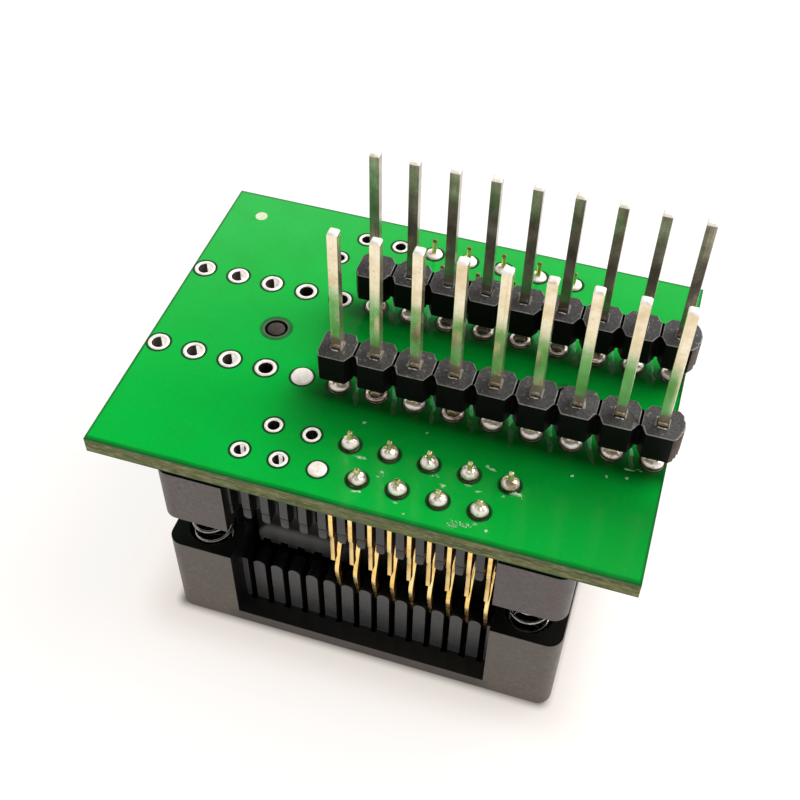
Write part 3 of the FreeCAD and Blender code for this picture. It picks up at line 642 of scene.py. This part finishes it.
def wob(seed, amp_r, amp_z):
    def f(r, z, a):
        p = Vector((math.cos(a) * 0.9 + seed * 3.7, math.sin(a) * 0.9 - seed * 1.3, r * 1.5))
        q = noise.noise(p)
        q2 = noise.noise(p * 2.3 + Vector((9.1, 2.2, z * 0.8)))
        return r * (1 + amp_r * q), z + amp_z * q2 * (1.0 if z > Z_BOARD + 0.02 else 0.0)
    return f


def barrel_band(r, lit, stained=False, mid=18.0, half=80.0):
    """Tinned rings; the barrel carries painted shade, near black, but a painted lit band of tin shows on its right
    side at some holes.
    """
    def f(a, b, ang):
        z = (a[1] + b[1]) / 2
        if (a[0] + b[0]) / 2 < r + 0.06 and Z_BOARD_LOW < z < Z_BOARD - 0.02:
            depth = (Z_BOARD - z) / (Z_BOARD - Z_BOARD_LOW)
            d = (ang - math.radians(mid) + math.pi) % (2 * math.pi) - math.pi
            return 2 if lit and abs(d) < math.radians(half * (1.0 + 0.1 * depth)) else 1
        return 3 if stained and z > Z_BOARD - 0.05 else 0
    return f


pads = Build()
for col in range(14):
    for row in (-1, 1):
        x, y = dip_xy(col, row)
        pads.lathe(pad_profile(DIP_R, 0.74, Z_BOARD, Z_BOARD_LOW), x, y, 40, mat=barrel_band(DIP_R, col < 3, col > 4), wobble=wob(col * 2 + row, 0.012, 0.02))
obj_from("pin_row_pads", pads.mesh("pin_row_pads"), [M_PAD, M_HOLE_SHADE, M_BARREL_LIT, M_PAD_STAIN], ROOT, ["plated_holes_pin_rows"], 50)
pads = Build()
for k in range(NPOS):
    for side in (-1, 1):
        x, y = soc_xy(k, side)
        pads.lathe(pad_profile(SOC_R, 0.60, Z_BOARD, Z_BOARD_LOW), x, y, 36, mat=barrel_band(SOC_R, side < 0 and k in (0, 2), side < 0 and k > 4, 88.0, 17.0), wobble=wob(k * 2 + side + 40, 0.012, 0.02))
obj_from("socket_pads", pads.mesh("socket_pads"), [M_PAD, M_HOLE_SHADE, M_BARREL_LIT, M_PAD_STAIN], ROOT, ["plated_holes_socket"], 50)


# ---------------------------------------------------------------- solder
def dome(base_r, h, neck_r, neck_h, low, bulge=0.0, steps=10):
    """Convex or concave fillet from the pad's rim up to the lead."""
    z0 = Z_BOARD + 0.03
    pts = [(0.0, low), (DIP_R - 0.09, low), (DIP_R - 0.09, z0 - 0.02), (base_r, z0 - 0.02)]
    for i in range(steps + 1):
        t = i / steps
        r = base_r + (neck_r - base_r) * t
        z = z0 + h * t
        pts.append((r + bulge * math.sin(math.pi * t), z + bulge * 0.8 * math.sin(math.pi * t)))
    pts.append((neck_r * 0.6, z0 + h + neck_h))
    pts.append((0.0, z0 + h + neck_h * 1.15))
    return pts


RING_TYPE = {(-1, 1), (-1, 3), (1, 0), (1, 2), (1, 3), (1, 4), (1, 5)}
for row, name in ((-1, "front"), (1, "rear")):
    b = Build()
    for i, col in enumerate(PIN_COLS):
        x, y = dip_xy(col, row)
        low = Z_BOARD_LOW + 0.06
        if (row, i) in RING_TYPE:
            z0 = Z_BOARD + 0.03
            prof = [(0.0, low), (0.38, low), (0.38, z0 - 0.02), (0.70, z0 - 0.02), (0.715, z0 + 0.05), (0.70, z0 + 0.14), (0.65, z0 + 0.21), (0.58, z0 + 0.25),
                    (0.51, z0 + 0.24), (0.46, z0 + 0.18), (0.42, z0 + 0.10), (0.37, z0 + 0.10), (0.32, z0 + 0.16), (0.0, z0 + 0.2)]
            wobf = wob(i + row * 7 + 100, 0.03, 0.05)
        else:
            prof = dome(0.715, 0.50, 0.36, 0.07, low, 0.085)
            wobf = wob(i + row * 7 + 120, 0.04, 0.06)
        b.cap_lathe(prof, x, y, 40, wobble=wobf)
    obj_from("pin_solder_" + name, b.mesh("pin_solder_" + name), [M_SOLDER], ROOT, ["header_solder_" + name], 50)

for side, name in ((-1, "front"), (1, "rear")):
    b = Build()
    for k in LOADED:
        x, y = soc_xy(k, side)
        low = Z_BOARD_LOW + 0.06
        r_ = rng_for("sock", side, k)
        h = 0.50 + 0.10 * r_.random() if side < 0 else 0.15 + 0.05 * r_.random()
        z0 = Z_BOARD + 0.03
        bul = 0.085 + 0.03 * r_.random()
        prof = [(0.0, low), (SOC_R - 0.09, low), (SOC_R - 0.09, z0 - 0.02), (0.575, z0 - 0.02)]
        for i in range(10):
            t = i / 9.0
            rr = 0.578 + (0.19 - 0.578) * t
            prof.append((rr + bul * math.sin(math.pi * min(1.0, t * 1.15)), z0 + h * (1 - (1 - t) ** 1.7)))
        prof += [(0.12, z0 + h + 0.07), (0.0, z0 + h + 0.10)]
        b.cap_lathe(prof, x, y, 36, wobble=wob(k + side * 9 + 200, 0.05, 0.07))
    obj_from("tail_solder_" + name, b.mesh("tail_solder_" + name), [M_SOLDER if side < 0 else M_PLUG], ROOT, ["socket_solder_" + name], 50)

b = Build()
x, y = dip_xy(4, -1)
zt = Z_BOARD + 0.03
b.cap_lathe([(0, Z_BOARD_LOW + 0.06), (0.38, Z_BOARD_LOW + 0.06), (0.38, zt), (0.715, zt), (0.72, zt + 0.04), (0.67, zt + 0.09), (0.55, zt + 0.13), (0.36, zt + 0.155), (0.18, zt + 0.165), (0, zt + 0.168)], x, y, 40, wobble=wob(301, 0.03, 0.05))
x, y = soc_xy(4, -1)
b.cap_lathe([(0, Z_BOARD_LOW + 0.06), (0.28, Z_BOARD_LOW + 0.06), (0.28, zt), (0.575, zt), (0.58, zt + 0.04), (0.53, zt + 0.085), (0.42, zt + 0.12), (0.25, zt + 0.14), (0.12, zt + 0.148), (0, zt + 0.15)], x, y, 36, wobble=wob(302, 0.03, 0.05))
obj_from("plugged_pads", b.mesh("plugged_pads"), [M_PLUG], ROOT, ["solder_plugs"], 50)


# ---------------------------------------------------------------- headers
def header_sort(f):
    c = f.calc_center_median()
    if f.normal.z > 0.8:
        return 3
    return 2 if (c.x > 17.10 * MM and f.normal.x > 0.2 and abs(f.normal.z) < 0.5) else 0


for name in ("header_strip_front", "header_strip_rear"):
    o = copy_node(name, ROOT, [M_HEADER, M_HEADER_EDGE_SHEEN_AND_WEAR, M_TORN, M_HEADER_TOP], bevel=0.05, seg=1, limit=50.0, sort=header_sort, edge=1, clamp=False)
    for f in o.data.polygons:
        # the pale broken edges are painted highlight and wear, kept to the top; below it the broken edges stay black,
        # and the grooves' floors too, in painted shade
        if f.material_index == 1 and (f.center.z < (Z_HDR_TOP - 0.08) * MM or f.normal.z < 0.2):
            f.material_index = 0
        elif f.material_index == 3 and f.center.z < (Z_HDR_TOP - 0.12) * MM:
            f.material_index = 0


# painted highlight: the upward facets near each tip take the pale tip material
def pin_sort(f):
    return 1 if f.calc_center_median().z > 29.6 * MM and f.normal.z > 0.1 else 0


for i in range(1, 19):
    copy_node("header_pin_%02d" % i, ROOT, [M_PIN if i < 10 else M_PIN_REAR_SHADED, M_PIN_TIP_HIGHLIGHT], bevel=0.035, seg=2, limit=25.0, sort=pin_sort)


# ---------------------------------------------------------------- socket
def outer_sort(front, block, rib, rib_end):
    """Outer faces are the lit plastic and carry the moulded grain; ribs, shelves and everything inside are smoother,
    darker copies of the same plastic, painted shade.
    """
    def f(face):
        n, c = face.normal, face.calc_center_median()
        x, y, z = c.x / MM - SX, c.y / MM - SY, c.z / MM
        if z > Z_BOARD_LOW + 0.5:
            return 4
        if n.z > 0.75:
            return 5 if abs(x) < 9.0 and z < 3.0 else 2
        if n.z < -0.75:
            return 2
        if abs(n.y) > 0.7 and n.y * y > 0 and rib < abs(y) < rib_end and abs(x) < 8.9 and z > 1.0:
            return 3
        if abs(n.y) > 0.7 and n.y * y > 0 and 5.0 < abs(y) < 8.4:
            return 6
        if abs(n.y) > 0.7 and abs(y) > front and n.y * y > 0:
            return 0
        if abs(x) > block and n.x * x > 0 and abs(n.x) > 0.2:
            return 0
        if abs(x) > 12.2 and abs(y) > 11.4 and n.x * x > 0 and n.y * y > 0:
            return 0
        return 2
    return f


copy_node("socket_base", ROOT, [M_BASE, M_BASE_EDGE, M_INNER, M_RIB, M_PEG, M_SHELF, M_WALL], bevel=0.03, seg=2, sort=outer_sort(12.2, 13.2, 11.65, 12.2))
copy_node("socket_cover", COVER, [M_COVER, M_COVER_EDGE, M_INNER, M_RIB_LOW, M_PEG, M_SHELF, M_INNER], bevel=0.04, seg=2, sort=outer_sort(12.2, 13.2, 10.0, 11.6))


# above the board the tails take the tail tin; below it the sideways faces take the painted shade of the sides
def tail_sort(f):
    if f.calc_center_median().z > (Z_BOARD + 0.1) * MM:
        return 1
    return 2 if abs(f.normal.x) > 0.7 else 0


for i in range(1, 19):
    copy_node("contact_%02d" % i, ROOT, [M_GOLD, M_TAIL if i < 10 else M_TAIL_REAR_SHADED, M_GOLD_SIDE_SHADED], bevel=0.025, seg=2, limit=35.0, sort=tail_sort)


# ---------------------------------------------------------------- springs
def spring_mesh(name, cx, cy, phase):
    z0, z1 = 1.70 + 0.12, 11.40 - 0.12
    turns, end, rise = 10.0, 1.0, 2.3 * 0.11
    mid = (z1 - z0) - 2 * rise
    m, ring = int(turns * 28), 10
    centres = []
    for i in range(m + 1):
        t = turns * i / m
        if t < end:
            z = z0 + rise * t / end
        elif t > turns - end:
            z = z1 - rise * (turns - t) / end
        else:
            z = z0 + rise + mid * (t - end) / (turns - 2 * end)
        a = 2 * math.pi * t + phase
        centres.append(Vector((cx + 1.27 * math.cos(a), cy + 1.27 * math.sin(a), z)))
    v, f = [], []
    for i, c in enumerate(centres):
        d = (centres[min(i + 1, m)] - centres[max(i - 1, 0)]).normalized()
        out = Vector((c.x - cx, c.y - cy, 0)).normalized()
        up = d.cross(out).normalized()
        for j in range(ring):
            a = 2 * math.pi * j / ring
            p = c + 0.108 * (math.cos(a) * out + math.sin(a) * up)
            v.append(p * MM)
    for i in range(m):
        for j in range(ring):
            k = (j + 1) % ring
            f.append((i * ring + j, i * ring + k, (i + 1) * ring + k, (i + 1) * ring + j))
    f.append(tuple(range(ring)))
    f.append(tuple(m * ring + j for j in range(ring))[::-1])
    me = bpy.data.meshes.new(name)
    me.from_pydata([tuple(p) for p in v], [], f)
    bm = bmesh.new()
    bm.from_mesh(me)
    bmesh.ops.recalc_face_normals(bm, faces=bm.faces)
    bm.to_mesh(me)
    bm.free()
    return me


for node, sx, side in (("spring_front_left", -1, -1), ("spring_front_right", 1, -1), ("spring_rear_left", -1, 1), ("spring_rear_right", 1, 1)):
    cx, cy = SX + sx * 10.95, SY + side * 10.60
    o = obj_from("coil_" + node[7:], spring_mesh(node, cx, cy, 4.52 if sx < 0 else 6.25), [M_WIRE], ROOT, [node], 60)
    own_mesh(o)


# ---------------------------------------------------------------- flux and scuffs
FLUX_CLUSTERS = [
    (6.08, -11.81, 0.55, 26, 0.075),
    (5.80, -12.02, 0.35, 14, 0.06),
    (6.62, -11.75, 0.35, 14, 0.065),
    (3.95, -8.82, 0.24, 5, 0.07),
    (0.75, -9.82, 0.24, 5, 0.06),
    (9.19, -8.74, 0.30, 4, 0.06),
    (15.74, -4.54, 0.31, 4, 0.05),
]
FLUX_STROKES = [
    (-0.80, -8.82, 0.39, 0.42, 8, 0.05),
    (-0.43, -11.41, 0.28, 0.28, 24, 0.03),
    (-0.08, -11.32, 0.16, 0.50, 18, 0.03),
    (0.78, -9.53, 0.20, 0.56, -18, 0.04),
    (2.22, -11.46, 0.19, 0.61, 5, 0.04),
    (4.52, -9.35, 0.26, 0.61, -7, 0.05),
    (6.73, -9.11, 0.28, 0.28, 18, 0.03),
    (6.00, -8.87, 0.22, 0.53, -1, 0.04),
    (8.92, -8.64, 0.41, 0.58, 3, 0.07),
    (8.22, -9.05, 0.12, 0.94, 18, 0.05),
    (6.79, -7.13, 0.20, 0.60, -13, 0.04),
    (7.14, -7.26, 0.23, 0.52, -13, 0.04),
    (7.13, -11.52, 0.15, 0.97, 18, 0.06),
    (7.88, -11.75, 0.12, 0.90, 18, 0.03),
    (2.91, -12.08, 0.12, 0.91, 18, 0.03),
    (-1.49, -6.09, 0.17, 0.74, -7, 0.04),
    (2.49, -5.70, 0.13, 0.98, 18, 0.04),
    (11.84, -6.20, 0.13, 0.94, 18, 0.04),
    (15.01, -5.37, 0.13, 0.94, 18, 0.04),
    (13.83, -5.62, 0.13, 0.94, 18, 0.04),
    (15.10, -4.69, 0.44, 0.19, 2, 0.03),
]


def fleck(bd, x, y, r, seed, flat=1.0, ang=0.0, h=0.03):
    rr = rng_for("fleck", seed)
    n = 11
    n0 = len(bd.v)
    ca, sa = math.cos(ang), math.sin(ang)
    for lay, (s, z) in enumerate(((1.0, -0.02), (1.0, 0.004), (0.62, h))):
        for j in range(n):
            a = 2 * math.pi * j / n
            q = r * s * (0.62 + 0.6 * noise.noise(Vector((math.cos(a) * 1.3 + seed, math.sin(a) * 1.3, seed * 0.37))) + 0.35 * rr.random() * (1 if lay < 2 else 0.5))
            px, py = q * math.cos(a), q * math.sin(a) * flat
            bd.v.append(((x + ca * px - sa * py) * MM, (y + sa * px + ca * py) * MM, (Z_BOARD + z) * MM))
    for lay in range(2):
        for j in range(n):
            k = (j + 1) % n
            bd.f.append((n0 + lay * n + j, n0 + lay * n + k, n0 + (lay + 1) * n + k, n0 + (lay + 1) * n + j))
            bd.mi.append(0)
    bd.f.append(tuple(n0 + 2 * n + j for j in range(n)))
    bd.mi.append(0)
    bd.f.append(tuple(n0 + j for j in range(n))[::-1])
    bd.mi.append(0)


# clusters beside the front joints and the end of the front strip: x, y, spread, count, size
def board_point(x, y, spread, count, size, seed, bd, flat=0.6):
    rr = rng_for("cluster", seed)
    for q in range(count):
        a, d = rr.random() * 6.283, spread * math.sqrt(rr.random())
        fleck(bd, x + d * math.cos(a), y + 0.55 * d * math.sin(a), size * (0.5 + rr.random()), seed * 31 + q, flat, rr.random() * 3.1, 0.02 + 0.03 * rr.random())


flux = Build()
for n_, (x, y, sp, ct, sz) in enumerate(FLUX_CLUSTERS):
    board_point(x, y, sp, ct, sz, n_ + 1, flux)
for n_, (x, y, r, fl, an, h) in enumerate(FLUX_STROKES):
    fleck(flux, x, y, r, 900 + n_, fl, math.radians(an), h)
obj_from("flux_flecks", flux.mesh("flux_flecks"), [M_FLUX], ROOT, smooth_angle=40)

# painted reflection: lighter streaks on the mask in front of and behind each gap between header cells
finger = Build()
finger_top = Build()
for row in (-1, 1):
    for col in PIN_COLS[:-1]:
        x, y = dip_xy(col, row)
        x += PITCH / 2
        rr = rng_for("finger", row, col)
        for (bd, fx, fy, r, fl, an) in ((finger_top, -0.22, 0.52, 0.82, 0.20, 102), (finger, 0.04, -0.62, 0.88, 0.26, 102)):
            fleck(bd, x + fx + 0.05 * rr.random(), y + fy + 0.1 * rr.random(), r * (0.85 + 0.3 * rr.random()), 700 + int(10 * fx) + 9 * col + 70 * row, fl, math.radians(an + 8 * rr.random()), 0.02)
obj_from("gap_reflections", finger.mesh("gap_reflections"), [M_GAP_REFLECTION], ROOT, smooth_angle=40)
obj_from("gap_reflection_tips", finger_top.mesh("gap_reflection_tips"), [M_GAP_REFLECTION_TIP], ROOT, smooth_angle=40)

# painted glints: pale flecks at the foot of each pin
burr = Build()
for row in (-1, 1):
    for col in PIN_COLS:
        x, y = dip_xy(col, row)
        rr = rng_for("burr", row, col)
        for q in range(3):
            fx, fy = x - 0.22 + 0.17 * q + 0.06 * rr.random(), y - 0.50 - 0.05 * rr.random()
            fleck(burr, fx, fy, 0.10 + 0.05 * rr.random(), 500 + q + 7 * col + 90 * row, 0.42, 0.5 * rr.random() - 0.3, 0.035)
for i_, v_ in enumerate(burr.v):
    burr.v[i_] = (v_[0], v_[1], v_[2] + (Z_HDR_TOP - Z_BOARD) * MM)
obj_from("header_foot_glints", burr.mesh("header_foot_glints"), [M_FOOT_GLINT], ROOT, smooth_angle=40)


# ---------------------------------------------------------------- stage, light, camera
def stage():
    me = bpy.data.meshes.new("floor")
    s = 1.6
    me.from_pydata([(-s, -s, 0), (s, -s, 0), (s, s, 0), (-s, s, 0)], [], [(0, 1, 2, 3)])
    o = bpy.data.objects.new("floor", me)
    bpy.context.scene.collection.objects.link(o)
    m = Mat("floor_paper", (0.20, 0.193, 0.188), 0.7, 0.0, 0.1)
    n = m.noise(14.0, 3.0, 0.5)
    m.color(m.ramp(n, [(0.3, (0.195, 0.188, 0.183)), (0.7, (0.205, 0.198, 0.193))]))
    m.set("Emission Color", (1.0, 0.975, 0.955, 1.0))
    # paper lit from all round, except in the part's own shade
    x, y, z = m.xyz()[:]
    dx = m.math("MAXIMUM", m.math("SUBTRACT", m.math("ABSOLUTE", x), 0.0129), 0.0)
    dy = m.math("MAXIMUM", m.math("SUBTRACT", m.math("ABSOLUTE", y), 0.0122), 0.0)
    d = m.math("SQRT", m.math("ADD", m.math("MULTIPLY", dx, dx), m.math("MULTIPLY", dy, dy)))
    r = m.node("ShaderNodeMapRange", interpolation_type="SMOOTHSTEP")
    for k, v in (("From Min", 0.0), ("From Max", 0.0011), ("To Min", 0.0), ("To Max", 1.0)):
        r.inputs[k].default_value = v
    m.link(d, r.inputs["Value"])
    wide = m.node("ShaderNodeMapRange", interpolation_type="SMOOTHSTEP")
    for k, v in (("From Min", 0.0), ("From Max", 0.0042), ("To Min", 0.66), ("To Max", 0.86)):
        wide.inputs[k].default_value = v
    m.link(d, wide.inputs["Value"])
    m.link(m.math("MULTIPLY", r.outputs["Result"], wide.outputs["Result"]), m.b.inputs["Emission Strength"])
    m.link(m.mix(m.rng(d, 0.0, 1.0, 0.0, 0.006), (1.0, 0.91, 0.84), (1.0, 0.975, 0.955)), m.b.inputs["Emission Color"])
    me.materials.append(m.m)


stage()


def area(name, loc, target, size, power, color=(1, 1, 1)):
    ld = bpy.data.lights.new(name, "AREA")
    ld.shape = "RECTANGLE"
    ld.size, ld.size_y = size
    ld.energy = power
    ld.color = color
    o = bpy.data.objects.new(name, ld)
    bpy.context.scene.collection.objects.link(o)
    o.location = loc
    d = Vector(target) - Vector(loc)
    o.rotation_euler = d.to_track_quat("-Z", "Y").to_euler()
    return o


area("overhead", (0.21, 0.15, 0.40), (0, 0.0, 0.012), (0.30, 0.30), 2.3, (1.0, 0.99, 0.975))

w = bpy.data.worlds.new("studio")
bpy.context.scene.world = w
w.use_nodes = True
nt = w.node_tree
bg = nt.nodes["Background"]
tc = nt.nodes.new("ShaderNodeTexCoord")
sep = nt.nodes.new("ShaderNodeSeparateXYZ")
nt.links.new(tc.outputs["Generated"], sep.inputs[0])


def wmath(op, a, b=None, c=None):
    n = nt.nodes.new("ShaderNodeMath")
    n.operation = op
    for i, v in enumerate((a, b, c)):
        if v is None:
            continue
        if hasattr(v, "links"):
            nt.links.new(v, n.inputs[i])
        else:
            n.inputs[i].default_value = v
    return n.outputs[0]


def wstep(v, lo, hi, a, b):
    n = nt.nodes.new("ShaderNodeMapRange")
    n.interpolation_type = "SMOOTHSTEP"
    for k, x in (("From Min", lo), ("From Max", hi), ("To Min", a), ("To Max", b)):
        n.inputs[k].default_value = x
    nt.links.new(v, n.inputs["Value"])
    return n.outputs["Result"]


# a white sweep rises behind and a pale room lies in front, both dark higher up
low = wstep(sep.outputs[2], 0.60, 0.74, 1.0, 0.0)
back = wstep(sep.outputs[1], -0.10, 0.30, 0.0, 1.0)
front = wstep(sep.outputs[1], -0.10, 0.30, 1.0, 0.0)
low_front = wstep(sep.outputs[2], 0.62, 0.86, 0.80, 0.0)
level = wmath("MULTIPLY_ADD", wmath("MULTIPLY", low, back), 1.25, 0.035)
level = wmath("ADD", level, wmath("MULTIPLY", low_front, front))
lp = nt.nodes.new("ShaderNodeLightPath")
shown = nt.nodes.new("ShaderNodeMix")
shown.data_type = "FLOAT"
nt.links.new(lp.outputs["Is Camera Ray"], shown.inputs["Factor"])
nt.links.new(level, shown.inputs[2])
shown.inputs[3].default_value = 0.97
nt.links.new(shown.outputs[0], bg.inputs["Strength"])
bg.inputs["Color"].default_value = (1.0, 0.985, 0.965, 1)

cam = bpy.data.cameras.new("camera")
cam.sensor_width = 36.0
cam.sensor_fit = "HORIZONTAL"
cam.lens = 52.973
cam.clip_start, cam.clip_end = 0.005, 20.0
co = bpy.data.objects.new("camera", cam)
bpy.context.scene.collection.objects.link(co)
R = Vector((0.95406254, 0.29930931, 0.01336456))
D = Vector((0.23319191, -0.71382424, -0.66036087))
F = Vector((-0.18811221, 0.63314208, -0.75082948))
C = Vector((14.219425, -51.238550, 73.387613)) * MM
co.matrix_world = Matrix(((R.x, -D.x, -F.x, C.x), (R.y, -D.y, -F.y, C.y), (R.z, -D.z, -F.z, C.z), (0, 0, 0, 1)))
bpy.context.scene.camera = co
bpy.context.scene.view_settings.view_transform = "Standard"
bpy.context.scene.view_settings.look = "None"
